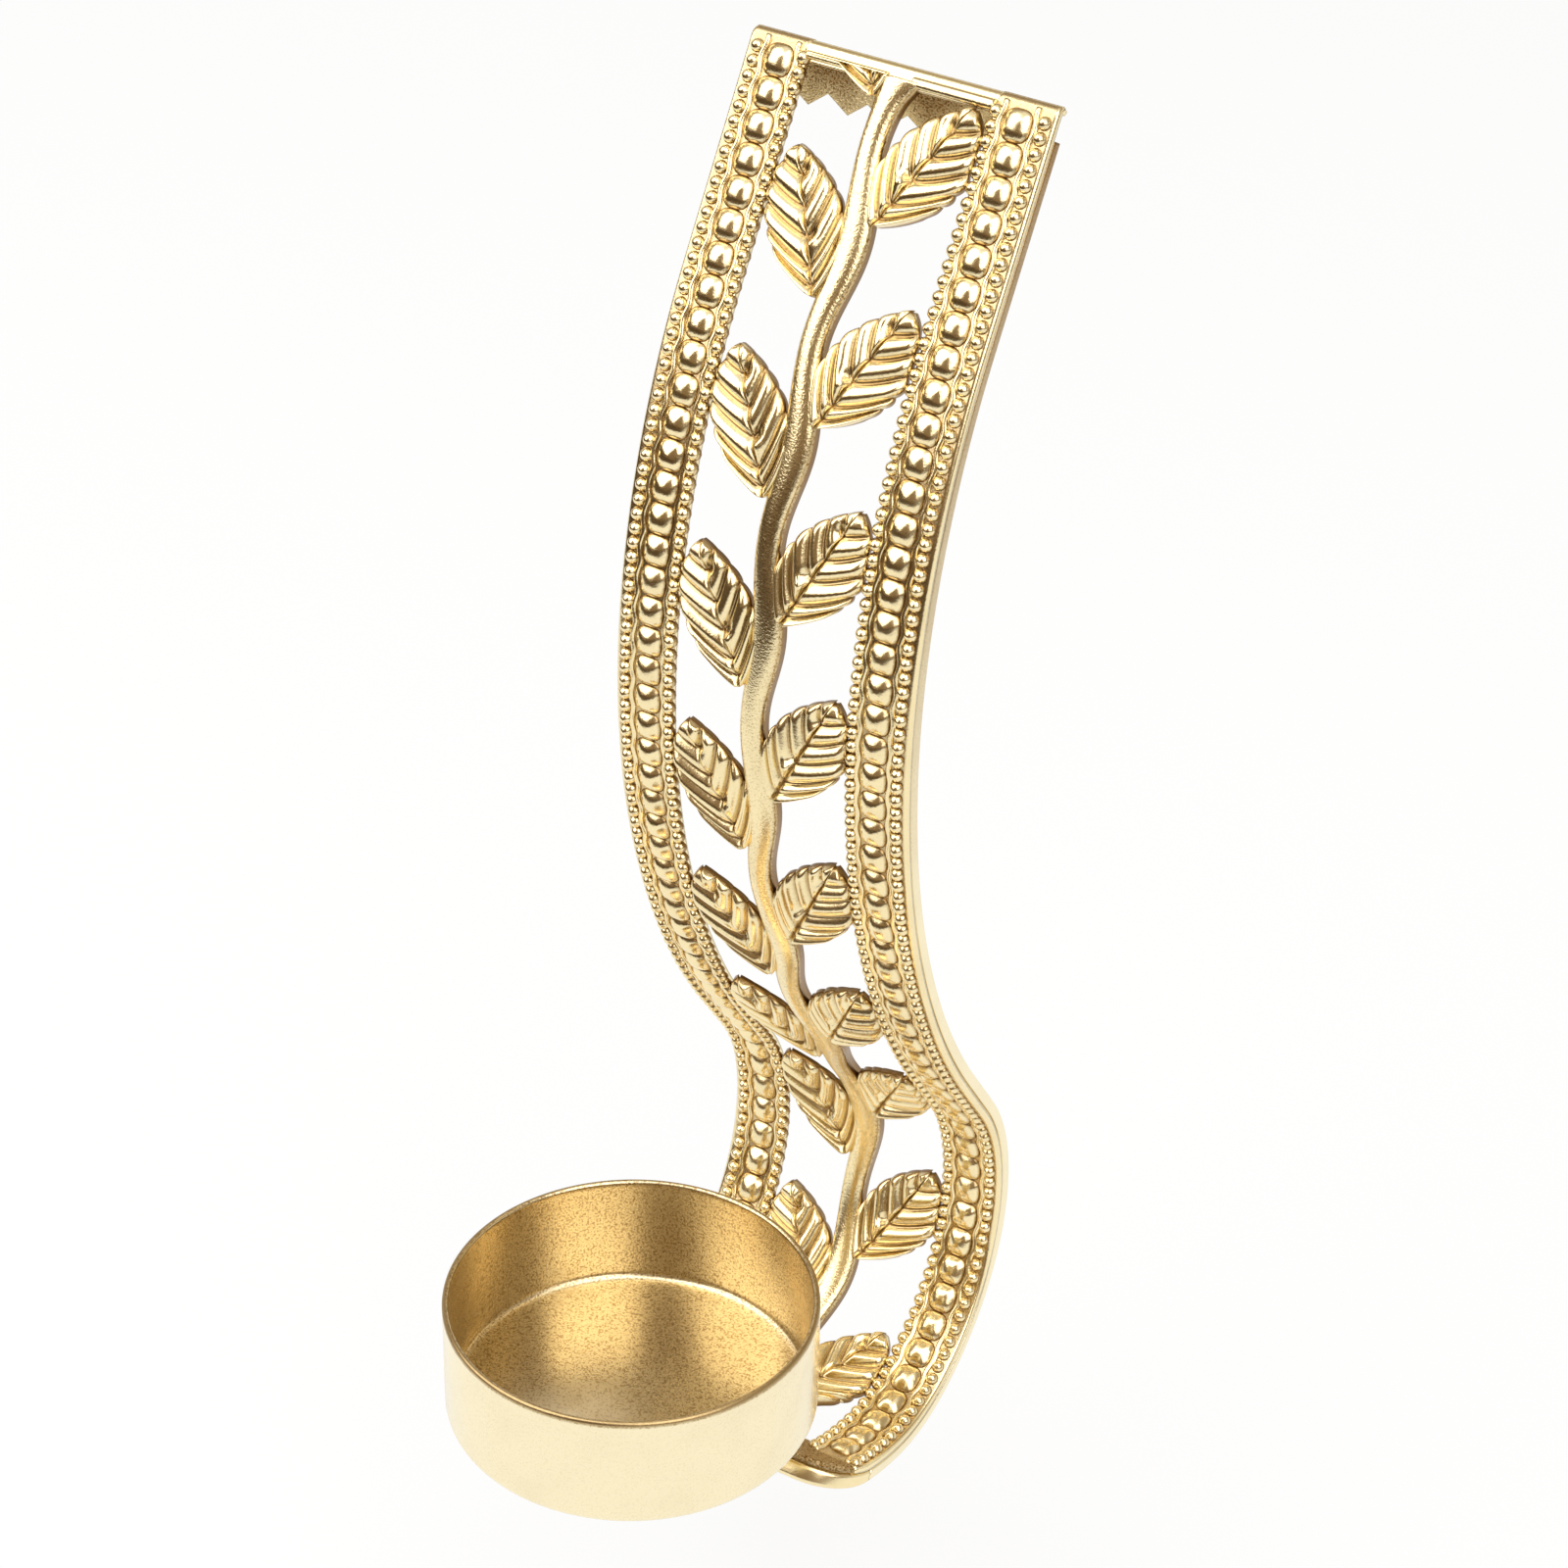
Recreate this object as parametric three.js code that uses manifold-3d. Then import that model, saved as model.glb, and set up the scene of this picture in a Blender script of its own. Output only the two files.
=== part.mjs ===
// Wall candle sconce: a pierced leaf strip bent into an S, with a tealight cup on the hook at its foot.
// Millimetres, +Z up, +Y into the wall. The origin is the middle of the flap that lies flat on the wall.
import * as THREE from "three";
import { mergeVertices } from "three/addons/utils/BufferGeometryUtils.js";
import Module from "manifold-3d";

const wasm = await Module();
wasm.setup();
const rad = THREE.MathUtils.degToRad;

// The pressed sheet.
const STRIP_WIDTH = 39.6;
const SHEET = 0.9;
const SOLDER_GAP = 0.3;

// Its side profile, from the flap on the wall over the top and down to the foot under the cup.
const FLAP_LENGTH = 7;
const FLAP_WIDTH = 36;
const FOLD_RADIUS = 1.3;
const FOLD_LAP = 0.4;
const TOP_LEAN = 31.7;
const TOP_LENGTH = 26.1;
const BELLY_RADIUS = 95;
const BULGE_LEAN = 35.3;
const BULGE_RADIUS = 25.5;
const BULGE_TURN = 96.5;
const HEEL_RADIUS = 17;
const HEEL_TURN = 34;
const RISE_RADIUS = 32.5;
const RISE_TURN = 20;
const CURL_RADIUS = 16;
const CURL_TURN = 51.5;
const CURL_END = 2;
const NECK_RADIUS = 6;
const FOOT_LENGTH = 11;
const FOOT_WIDTH = 22;

// The zigzag edge of the flap, which catches the nail.
const TOOTH_PITCH = 5.2;
const TOOTH_DEPTH = 2;

// The beaded borders: a row of large beads between two fine ridges.
const BEAD_PITCH = 3.84;
const BEAD_LENGTH = 3.7;
const BEAD_WIDTH = 4;
const BEAD_HEIGHT = 1.4;
const BEAD_SHOULDER_RATIO = 0.8;
const FIRST_BEAD = 2.5;
const BEAD_COUNT = 54;
const EDGE_MARGIN = 0.8;
const RIDGE_WIDTH = 1.4;
const RIDGE_HEIGHT = 0.7;
const RIDGE_SLOPE_RATIO = 0.25;
const CHANNEL_WIDTH = 4.6;
const BAR_DEPTH = 1.8;

// The edge bands behind the borders.
const BAND_THICKNESS = 1;
const BAND_DEPTH = 1.6;
const BAND_TOP = 3;
const WALL_GAP = 0.1;

// The plain rounded tongue, with a rim of its own, that ends the pattern in the hook.
const TONGUE_LENGTH = 4;

// The vine: a wavy stem with leaves to the right and left in turn.
const BEADS_PER_LEAF = 6;
const STEM_WIDTH = 3.5;
const STEM_SWELL = 0.4;
const STEM_HEIGHT = 1.3;
const STEM_WAVE = 0.55;
const STEM_OFFSET = -0.3;
const STEM_PHASE = 0.85;
const STEM_STEPS = 6;
const STEM_SHOULDER_RATIO = 0.7;
const RIGHT_PHASE = 0.73;
const LEFT_PHASE = 1.125;
const RIGHT_ROOT = 2.3;
const LEFT_ROOT = 2.6;
const LEAF_RISE = 15.5;
const TIP_INSET = 1.9;
const LEAF_LAP = 0.5;
const LAP_SHARE_RATIO = 0.6;
const INNER_WIDTH_RATIO = 0.73;
const LEAF_FULLNESS = 0.85;
const LEAF_BACK = 0.75;
const VEIN_SWEEP_RATIO = 0.4;
const BASE_SWEEP_RATIO = 0.32;
const FIRST_VEIN_RATIO = 0.04;
const LAST_VEIN_RATIO = 0.97;
const VEIN_STEPS = 7;
const LEAF_EDGE = 0.25;
const LOBE_HEIGHT = 1.15;
const GROOVE_HEIGHT = 0.55;
const MIDRIB_HEIGHT = 0.7;

// The candle cup.
const CUP_DIAMETER = 45;
const CUP_HEIGHT = 16;
const CUP_WALL = 0.8;
const CUP_FLOOR = 1;
const CUP_CORNER = 1.8;

// How finely round shapes are cut.
const SAGITTA = 0.09;
const BEAD_SIDES = 6;
const CUP_SIDES = 48;
const CORNER_STEPS = 2;
const TONGUE_STEPS = 4;

const HALF = STRIP_WIDTH / 2;
const INSIDE = SHEET / 20;
const LEAF_PITCH = BEADS_PER_LEAF * BEAD_PITCH;
const BAND_BACK = SHEET + SOLDER_GAP + BAND_DEPTH;
const BORDER_WIDTH = EDGE_MARGIN + 2 * RIDGE_WIDTH + CHANNEL_WIDTH;
const BEAD_ROW = HALF - EDGE_MARGIN - RIDGE_WIDTH - CHANNEL_WIDTH / 2;

// The straight run below the belly is as long as it takes for the bulge to touch the wall again.
function runToWall() {
  const fold = FOLD_RADIUS * (1 + Math.cos(rad(TOP_LEAN)));
  const top = TOP_LENGTH * Math.sin(rad(TOP_LEAN));
  const belly = BELLY_RADIUS * (Math.cos(rad(TOP_LEAN)) - Math.cos(rad(BULGE_LEAN)));
  const bulge = BULGE_RADIUS * (1 - Math.cos(rad(BULGE_LEAN)));
  return (fold + top - belly - bulge - BAND_BACK - WALL_GAP) / Math.sin(rad(BULGE_LEAN));
}

const straight = (name, length) => ({ name, length, turn: 0 });
const bend = (name, radius, degrees) => ({
  name,
  length: radius * Math.abs(rad(degrees)),
  turn: rad(degrees),
});
const curlHeading = BULGE_LEAN - BULGE_TURN - HEEL_TURN - RISE_TURN - CURL_TURN;

const stretches = [
  straight("flap", FLAP_LENGTH),
  bend("fold", FOLD_RADIUS, 180 - TOP_LEAN),
  straight("top", TOP_LENGTH),
  bend("belly", BELLY_RADIUS, TOP_LEAN + BULGE_LEAN),
  straight("run", runToWall()),
  bend("bulge", BULGE_RADIUS, -BULGE_TURN),
  bend("heel", HEEL_RADIUS, -HEEL_TURN),
  bend("rise", RISE_RADIUS, -RISE_TURN),
  bend("curl", CURL_RADIUS, -CURL_TURN),
  straight("curl_end", CURL_END),
  bend("neck", NECK_RADIUS, -90 - curlHeading),
  straight("foot", FOOT_LENGTH),
];

// A place on the sheet's front face within one stretch. A heading of 0 points down and -90 forward.
function along(stretch, distance) {
  const heading = stretch.heading + (stretch.turn * distance) / stretch.length;
  if (stretch.turn === 0) {
    return {
      y: stretch.y + distance * Math.sin(heading),
      z: stretch.z - distance * Math.cos(heading),
      heading,
    };
  }
  const radius = stretch.length / stretch.turn;
  return {
    y: stretch.y + radius * (Math.cos(stretch.heading) - Math.cos(heading)),
    z: stretch.z - radius * (Math.sin(heading) - Math.sin(stretch.heading)),
    heading,
  };
}

// Distances along the sheet are counted from the top of the pattern, a little way up the fold.
let next = { y: 0, z: -FLAP_LENGTH / 2, heading: -Math.PI };
let travelled = FOLD_LAP - stretches[0].length - stretches[1].length;
for (const stretch of stretches) {
  Object.assign(stretch, next, { start: travelled, end: travelled + stretch.length });
  next = along(stretch, stretch.length);
  travelled = stretch.end;
}
const stretchNamed = (name) => stretches.find((stretch) => stretch.name === name);
const PATTERN_END = FIRST_BEAD + BEAD_COUNT * BEAD_PITCH;
const FOOT = stretchNamed("foot");

// A point of the flat pattern, x across and run along the sheet, raised off the front face and bent.
function onSheet(x, run, height) {
  const stretch = stretches.findLast((each) => run >= each.start) ?? stretches[0];
  const place = along(stretch, run - stretch.start);
  const y = place.y - height * Math.cos(place.heading);
  const z = place.z - height * Math.sin(place.heading);
  return new THREE.Vector3(x, y, z);
}

// Distances between two ends of the sheet that follow its bends to within the sagitta.
function stations(from, to) {
  const runs = [from];
  for (const stretch of stretches) {
    const radius = Math.abs(stretch.length / stretch.turn);
    const step = stretch.turn === 0 ? stretch.length : Math.sqrt(8 * radius * SAGITTA);
    const count = Math.ceil(stretch.length / step);
    for (let i = 1; i <= count; i++) {
      const run = stretch.start + (stretch.length * i) / count;
      if (run > from && run < to) runs.push(run);
    }
  }
  return [...runs, to];
}

function solid(geometry) {
  const bare = geometry.clone();
  bare.deleteAttribute("normal");
  bare.deleteAttribute("uv");
  const merged = mergeVertices(bare, 1e-4);
  const made = new wasm.Manifold(
    new wasm.Mesh({
      numProp: 3,
      vertProperties: new Float32Array(merged.attributes.position.array),
      triVerts: new Uint32Array(merged.index.array),
    }),
  );
  return made;
}

function geometryOf(made) {
  const mesh = made.getMesh();
  const geometry = new THREE.BufferGeometry();
  geometry.setAttribute("position", new THREE.BufferAttribute(mesh.vertProperties, mesh.numProp));
  geometry.setIndex(new THREE.BufferAttribute(mesh.triVerts, 1));
  geometry.computeVertexNormals();
  return geometry;
}

// Joins rings of equal size into one closed body. Each end is closed by the triangles of its flat outline.
function loft(rings, outline) {
  const size = rings[0].length;
  const faces = [];
  for (let r = 0; r + 1 < rings.length; r++) {
    for (let i = 0; i < size; i++) {
      const a = r * size + i;
      const b = r * size + ((i + 1) % size);
      faces.push(a, b, a + size, b, b + size, a + size);
    }
  }
  const last = (rings.length - 1) * size;
  for (const [a, b, c] of THREE.ShapeUtils.triangulateShape(outline, [])) {
    faces.push(a, c, b, last + a, last + b, last + c);
  }
  const geometry = new THREE.BufferGeometry().setFromPoints(rings.flat());
  geometry.setIndex(faces);
  return geometry;
}

// A section of the sheet, drawn as x across and height off the face, swept along the bends.
function sweep(outline, from, to) {
  const rings = stations(from, to).map((run) => outline.map((p) => onSheet(p.x, run, p.y)));
  return solid(loft(rings, outline));
}

const points = (pairs) => pairs.map(([x, y]) => new THREE.Vector2(x, y));

function plainSection(left, right, front, back) {
  return points([
    [left, back],
    [right, back],
    [right, front],
    [left, front],
  ]);
}

// One border in section, from its plain edge inwards: margin, ridge, channel and ridge.
function borderSection(side) {
  const ridge = (start) => [
    [start, 0],
    [start + RIDGE_SLOPE_RATIO * RIDGE_WIDTH, RIDGE_HEIGHT],
    [start + (1 - RIDGE_SLOPE_RATIO) * RIDGE_WIDTH, RIDGE_HEIGHT],
    [start + RIDGE_WIDTH, 0],
  ];
  const inward = [
    [0, -SHEET],
    [0, 0],
    ...ridge(EDGE_MARGIN),
    ...ridge(EDGE_MARGIN + RIDGE_WIDTH + CHANNEL_WIDTH),
    [BORDER_WIDTH, -SHEET],
  ];
  const placed = inward.map(([inset, height]) => [side * (HALF - inset), height]);
  return points(side < 0 ? placed.reverse() : placed);
}

// A low dome that stands on the front face, sunk a little so that it joins the sheet.
function bead(x, run) {
  const sunk = SHEET / 2;
  const profile = points([
    [0, -sunk],
    [1, -sunk],
    [BEAD_SHOULDER_RATIO, BEAD_SHOULDER_RATIO ** 2 * BEAD_HEIGHT],
    [0, BEAD_HEIGHT],
  ]);
  const dome = new THREE.LatheGeometry(profile, BEAD_SIDES);
  const centre = onSheet(x, run, 0);
  const outward = onSheet(x, run, 1).sub(centre);
  const across = new THREE.Vector3(BEAD_WIDTH / 2, 0, 0);
  const down = across.clone().cross(outward).setLength(BEAD_LENGTH / 2);
  dome.applyMatrix4(new THREE.Matrix4().makeBasis(across, outward, down).setPosition(centre));
  return solid(dome);
}

function beads(side) {
  const made = [];
  for (let i = 0; i < BEAD_COUNT; i++) {
    made.push(bead(side * BEAD_ROW, FIRST_BEAD + i * BEAD_PITCH));
  }
  return made;
}

// The stem is half round. It swings and swells once for each pair of leaves.
function stem() {
  const count = Math.round((PATTERN_END * STEM_STEPS) / LEAF_PITCH);
  const sectionAt = (run) => {
    const swing = Math.cos(2 * Math.PI * (run / LEAF_PITCH - STEM_PHASE));
    const middle = STEM_OFFSET + STEM_WAVE * swing;
    const half = (STEM_WIDTH + STEM_SWELL * swing) / 2;
    const shoulder = STEM_SHOULDER_RATIO * half;
    return points([
      [middle - half, -SHEET],
      [middle + half, -SHEET],
      [middle + half, 0],
      [middle + shoulder, STEM_SHOULDER_RATIO * STEM_HEIGHT],
      [middle, STEM_HEIGHT],
      [middle - shoulder, STEM_SHOULDER_RATIO * STEM_HEIGHT],
      [middle - half, 0],
    ]);
  };
  const rings = [];
  for (let i = 0; i <= count; i++) {
    const run = BAR_DEPTH / 2 + ((PATTERN_END - BAR_DEPTH) * i) / count;
    rings.push(sectionAt(run).map((p) => onSheet(p.x, run, p.y)));
  }
  return solid(loft(rings, sectionAt(0)));
}

// How wide a leaf is at a share of its length, as a share of its greatest width.
const leafFullness = (share) => Math.sin(Math.PI * share ** LEAF_FULLNESS);

// A leaf's midrib and half widths. Its outer side is as wide as it takes to lap onto the border.
function leafShape(root) {
  const inside = HALF - BORDER_WIDTH;
  const reach = inside - TIP_INSET - root;
  const length = Math.hypot(reach, LEAF_RISE);
  const rib = new THREE.Vector2(reach, -LEAF_RISE).divideScalar(length);
  const toBorder = inside + LEAF_LAP - root - LAP_SHARE_RATIO * reach;
  const outer = toBorder / (-rib.y * leafFullness(LAP_SHARE_RATIO));
  return { length, rib, outer, inner: INNER_WIDTH_RATIO * reach };
}

// Places across a leaf, from its inner edge over the midrib to its outer edge.
const LEAF_PLACES = [-1, -0.5, 0, 0.5, 1];

// One row of a leaf runs along a vein: out from the midrib and forward to the edge on both sides.
function leafRow(shape, index) {
  const base = index < 0;
  const along = (LAST_VEIN_RATIO - FIRST_VEIN_RATIO) * (index / VEIN_STEPS);
  const root = base ? 0 : FIRST_VEIN_RATIO + along;
  const tip = base ? BASE_SWEEP_RATIO : root + VEIN_SWEEP_RATIO * (1 - root);
  const ridge = index % 2 === 0;
  return LEAF_PLACES.map((u) => {
    const out = Math.abs(u);
    const width = u < 0 ? shape.inner : shape.outer;
    const share = root + (tip - root) * out;
    const half = base ? width * leafFullness(share) : out * width * leafFullness(tip);
    const lobe = ridge ? LOBE_HEIGHT : GROOVE_HEIGHT;
    const heights = { 0: MIDRIB_HEIGHT, 0.5: lobe, 1: ridge ? GROOVE_HEIGHT : LEAF_EDGE };
    return { share, across: Math.sign(u) * half, height: base ? LEAF_EDGE : heights[out] };
  });
}

// A leaf with its root on the stem, reaching up and out to the border on one side.
function leaf(side, root, rootRun) {
  const shape = leafShape(root);
  const { length, rib } = shape;
  const place = ({ share, across }, height) => {
    const x = root + rib.x * length * share - rib.y * across;
    const run = rootRun + rib.y * length * share + rib.x * across;
    return onSheet(side * x, run, height);
  };
  const rings = [];
  for (let index = -1; index <= VEIN_STEPS; index++) {
    const row = leafRow(shape, index);
    const front = row.map((p) => place(p, p.height));
    const back = row.map((p) => place(p, -LEAF_BACK)).reverse();
    rings.push([...front, ...back]);
  }
  const front = LEAF_PLACES.map((u) => [u, -1 - u ** 2]);
  const back = LEAF_PLACES.map((u) => [-u, 1 + u ** 2]);
  return solid(loft(side > 0 ? rings : rings.reverse(), points([...front, ...back])));
}

function leaves() {
  const made = [];
  for (let run = RIGHT_PHASE * LEAF_PITCH; run < PATTERN_END + BAR_DEPTH; run += LEAF_PITCH) {
    made.push(leaf(1, RIGHT_ROOT, run));
  }
  for (let run = LEFT_PHASE * LEAF_PITCH; run < PATTERN_END + BAR_DEPTH; run += LEAF_PITCH) {
    made.push(leaf(-1, LEFT_ROOT, run));
  }
  return made;
}

// A flat outline, x across and y back up the sheet, given the sheet's thickness on one straight stretch.
function plate(outline, front, back) {
  const shape = new THREE.Shape(outline);
  const geometry = new THREE.ExtrudeGeometry(shape, { depth: front - back, bevelEnabled: false });
  const flat = geometry.attributes.position;
  for (let i = 0; i < flat.count; i++) {
    const bent = onSheet(flat.getX(i), -flat.getY(i), back + flat.getZ(i));
    flat.setXYZ(i, bent.x, bent.y, bent.z);
  }
  return solid(geometry);
}

// The flap ends in a zigzag with one notch in the middle, so that a nail centres itself.
function flap() {
  const top = -stretchNamed("fold").start;
  const tip = top + FLAP_LENGTH;
  const half = FLAP_WIDTH / 2;
  const outline = [
    [-half, top],
    [half, top],
  ];
  const teeth = Math.floor(half / TOOTH_PITCH);
  outline.push([half, tip - TOOTH_DEPTH], [teeth * TOOTH_PITCH, tip - TOOTH_DEPTH]);
  for (let tooth = teeth - 1; tooth >= -teeth; tooth--) {
    outline.push([(tooth + 0.5) * TOOTH_PITCH, tip], [tooth * TOOTH_PITCH, tip - TOOTH_DEPTH]);
  }
  outline.push([-half, tip - TOOTH_DEPTH]);
  return plate(points(outline), 0, -SHEET);
}

// What is left of the leaf that the top edge cuts through: a curved web between the stem and the bar.
function cutLeaf() {
  const root = LEFT_PHASE * LEAF_PITCH - LEAF_PITCH;
  const reach = LEFT_ROOT + leafShape(LEFT_ROOT).outer;
  const web = new THREE.Shape();
  web.moveTo(STEM_OFFSET, -root);
  web.lineTo(STEM_OFFSET, -BAR_DEPTH / 2);
  web.lineTo(-reach, -BAR_DEPTH / 2);
  web.quadraticCurveTo(-LEFT_ROOT, -BAR_DEPTH, STEM_OFFSET, -root);
  return plate(web.getPoints(CORNER_STEPS), LEAF_EDGE, -LEAF_BACK);
}

// A tab across the sheet with two round corners at its lower end.
function roundedTab(half, start, end, corner, steps) {
  const tab = new THREE.Shape();
  tab.moveTo(half, -start);
  tab.lineTo(-half, -start);
  tab.absarc(corner - half, corner - end, corner, Math.PI, 1.5 * Math.PI);
  tab.absarc(half - corner, corner - end, corner, 1.5 * Math.PI, 2 * Math.PI);
  return tab.getPoints(steps);
}

function foot() {
  const tab = roundedTab(FOOT_WIDTH / 2, FOOT.start, FOOT.end, FOOT_LENGTH / 2, CORNER_STEPS);
  return plate(tab, 0, -SHEET);
}

// The tongue is a shallow tray turned upside down, so that its rim carries on from the edge bands.
function tongue() {
  const start = PATTERN_END - BAR_DEPTH;
  const end = PATTERN_END + TONGUE_LENGTH;
  const outside = roundedTab(HALF, start, end, TONGUE_LENGTH, TONGUE_STEPS);
  const hollow = roundedTab(
    HALF - BAND_THICKNESS,
    start - BAR_DEPTH,
    end - BAND_THICKNESS,
    TONGUE_LENGTH - BAND_THICKNESS,
    TONGUE_STEPS,
  );
  const block = plate(outside, -INSIDE, -BAND_BACK);
  return block.subtract(plate(hollow, INSIDE - SHEET, -BAND_BACK - SHEET));
}

// Sheets that join the borders or run on past them lie a little inside the flat faces they meet.
function crossSheet(width, from, to) {
  return sweep(plainSection(-width / 2, width / 2, -INSIDE, INSIDE - SHEET), from, to);
}

function piercedStrip() {
  const fold = stretchNamed("fold");
  const pieces = [
    sweep(borderSection(-1), 0, PATTERN_END),
    sweep(borderSection(1), 0, PATTERN_END),
    crossSheet(FLAP_WIDTH, fold.start - SHEET, BAR_DEPTH),
    crossSheet(FOOT_WIDTH, PATTERN_END - BAR_DEPTH, FOOT.start + SHEET),
    flap(),
    cutLeaf(),
    tongue(),
    foot(),
    stem(),
    ...leaves(),
    ...beads(-1),
    ...beads(1),
  ];
  return geometryOf(pieces.reduce((whole, piece) => whole.add(piece)));
}

function edgeBand(side) {
  const outer = side * HALF;
  const inner = side * (HALF - BAND_THICKNESS);
  const front = -SHEET - SOLDER_GAP;
  const section = plainSection(Math.min(outer, inner), Math.max(outer, inner), front, -BAND_BACK);
  return geometryOf(sweep(section, BAND_TOP, PATTERN_END - BAR_DEPTH - SOLDER_GAP));
}

// The cup is turned about its own axis, with its underside at zero.
function candleCup() {
  const outer = CUP_DIAMETER / 2;
  const inner = outer - CUP_WALL;
  const fillet = CUP_CORNER - CUP_WALL;
  const profile = new THREE.Path();
  profile.moveTo(0, 0);
  profile.lineTo(outer - CUP_CORNER, 0);
  profile.absarc(outer - CUP_CORNER, CUP_CORNER, CUP_CORNER, -Math.PI / 2, 0);
  profile.lineTo(outer, CUP_HEIGHT);
  profile.lineTo(inner, CUP_HEIGHT);
  profile.absarc(inner - fillet, CUP_FLOOR + fillet, fillet, 0, -Math.PI / 2, true);
  profile.lineTo(0, CUP_FLOOR);
  const turned = new THREE.LatheGeometry(profile.getPoints(CORNER_STEPS), CUP_SIDES);
  return geometryOf(solid(turned.rotateX(Math.PI / 2)));
}

const gold = (name, color, roughness) =>
  new THREE.MeshStandardMaterial({ name, color, roughness, metalness: 1 });

function named(name, geometry, material) {
  const mesh = new THREE.Mesh(geometry, material);
  mesh.name = name;
  return mesh;
}

const cup = named("candle_cup", candleCup(), gold("cup_gold", 0xc9a05a, 0.35));
const seat = along(FOOT, FOOT_LENGTH / 2);
cup.position.set(0, seat.y, seat.z + SOLDER_GAP);

const sconce = new THREE.Group();
sconce.name = "wall_candle_sconce";
sconce.add(
  named("pierced_strip", piercedStrip(), gold("strip_gold", 0xd6a94f, 0.3)),
  named("left_edge_band", edgeBand(-1), gold("band_gold", 0xd6a94f, 0.35)),
  named("right_edge_band", edgeBand(1), gold("band_gold", 0xd6a94f, 0.35)),
  cup,
);

export default sconce;
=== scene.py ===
import math

import bpy
import numpy as np
from mathutils import Matrix, Vector

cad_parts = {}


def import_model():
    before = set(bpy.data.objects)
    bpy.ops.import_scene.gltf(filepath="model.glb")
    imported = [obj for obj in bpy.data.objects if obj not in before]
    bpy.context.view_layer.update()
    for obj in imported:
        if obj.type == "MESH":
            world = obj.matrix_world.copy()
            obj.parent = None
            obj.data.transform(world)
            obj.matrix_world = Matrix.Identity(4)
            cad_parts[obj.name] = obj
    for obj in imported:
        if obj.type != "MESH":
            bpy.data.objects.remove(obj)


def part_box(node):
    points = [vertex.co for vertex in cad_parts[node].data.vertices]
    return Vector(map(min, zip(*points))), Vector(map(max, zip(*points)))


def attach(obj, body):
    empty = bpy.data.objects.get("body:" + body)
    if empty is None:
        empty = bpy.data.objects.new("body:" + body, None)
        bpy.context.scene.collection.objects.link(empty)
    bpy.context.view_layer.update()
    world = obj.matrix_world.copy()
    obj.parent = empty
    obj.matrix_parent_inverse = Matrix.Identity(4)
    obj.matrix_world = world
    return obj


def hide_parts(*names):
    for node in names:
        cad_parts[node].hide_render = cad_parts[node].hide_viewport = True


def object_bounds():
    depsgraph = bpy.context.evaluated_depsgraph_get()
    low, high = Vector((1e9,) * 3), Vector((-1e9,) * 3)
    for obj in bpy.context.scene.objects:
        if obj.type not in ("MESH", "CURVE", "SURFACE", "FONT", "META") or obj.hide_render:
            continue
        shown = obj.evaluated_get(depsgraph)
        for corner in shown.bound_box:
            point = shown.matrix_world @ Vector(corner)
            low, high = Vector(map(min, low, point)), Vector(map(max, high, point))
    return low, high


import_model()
cad_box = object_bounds()

# Sizes are in millimetres and turns in degrees, as on the part. MM brings them to metres.
MM = 0.001

# The pressed sheet and its side profile, from the flap on the wall down to the foot under the cup.
STRIP_WIDTH = 39.6
SHEET = 0.9
SOLDER_GAP = 0.3
FLAP_LENGTH = 7
FLAP_WIDTH = 36
FOLD_RADIUS = 1.3
FOLD_LAP = 0.4
TOP_LEAN = 31.7
TOP_LENGTH = 26.1
BELLY_RADIUS = 95
BULGE_LEAN = 35.3
BULGE_RADIUS = 25.5
BULGE_TURN = 96.5
HEEL_RADIUS = 17
HEEL_TURN = 34
RISE_RADIUS = 32.5
RISE_TURN = 20
CURL_RADIUS = 16
CURL_TURN = 51.5
CURL_END = 2
NECK_RADIUS = 6
FOOT_LENGTH = 11
FOOT_WIDTH = 22
TONGUE_LENGTH = 4
TONGUE_CORNER = 7
TONGUE_RIM = 3.5
RIM_FILLET = 0.7
BAR_DEPTH = 1.8
TOOTH_PITCH = 5.2
TOOTH_DEPTH = 2
FLAP_WAVE = 0.3
FLAP_WAVE_LENGTH = 13
WALL_GAP = 0.1

# The edge bands behind the borders. The finer curves here stay inside the part's by a small trim.
BAND_THICKNESS = 1
BAND_DEPTH = 1.6
BAND_TOP = 3
BAND_FILLET = 0.3
TRIM = 0.1

# The borders: a row of large beads between two wavy ridges, and a row of fine beads on either side.
BORDER_EDGE = 11.6
BORDER_INNER = 12
BEAD_ROW = 15.35
BEAD_PITCH = 3.84
FIRST_BEAD = 2.5
BEAD_COUNT = 54
BEAD_LENGTH = 3.92
BEAD_WIDTH = 3.6
BEAD_HEIGHT = 0.98
BEAD_SLOPE = 57
BEAD_SQUARENESS = 3
BEAD_TOP = 2
BEAD_SUNK = 0.3
FINE_ROWS = (12.42, 18.45)
FINE_PER_LEAF = 13
FINE_BEAD = 1.7
FINE_SLOPE = 82
FINE_SQUARENESS = 2
FIRST_FINE_BEAD = 1.5
RIDGE_OFFSET = 2.12
RIDGE_WAVE = 0.16
RIDGE_RADIUS = 0.38
EDGE_ROUND = 0.3
HOLLOW_DEPTH = 0.5
PLATE_TOP = -2.4

# The bars across the top, to the right and left of the stem.
BAR_RUN = 1
RIGHT_BAR_RADIUS = 0.75
LEFT_BAR_RADIUS = 0.5

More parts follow.
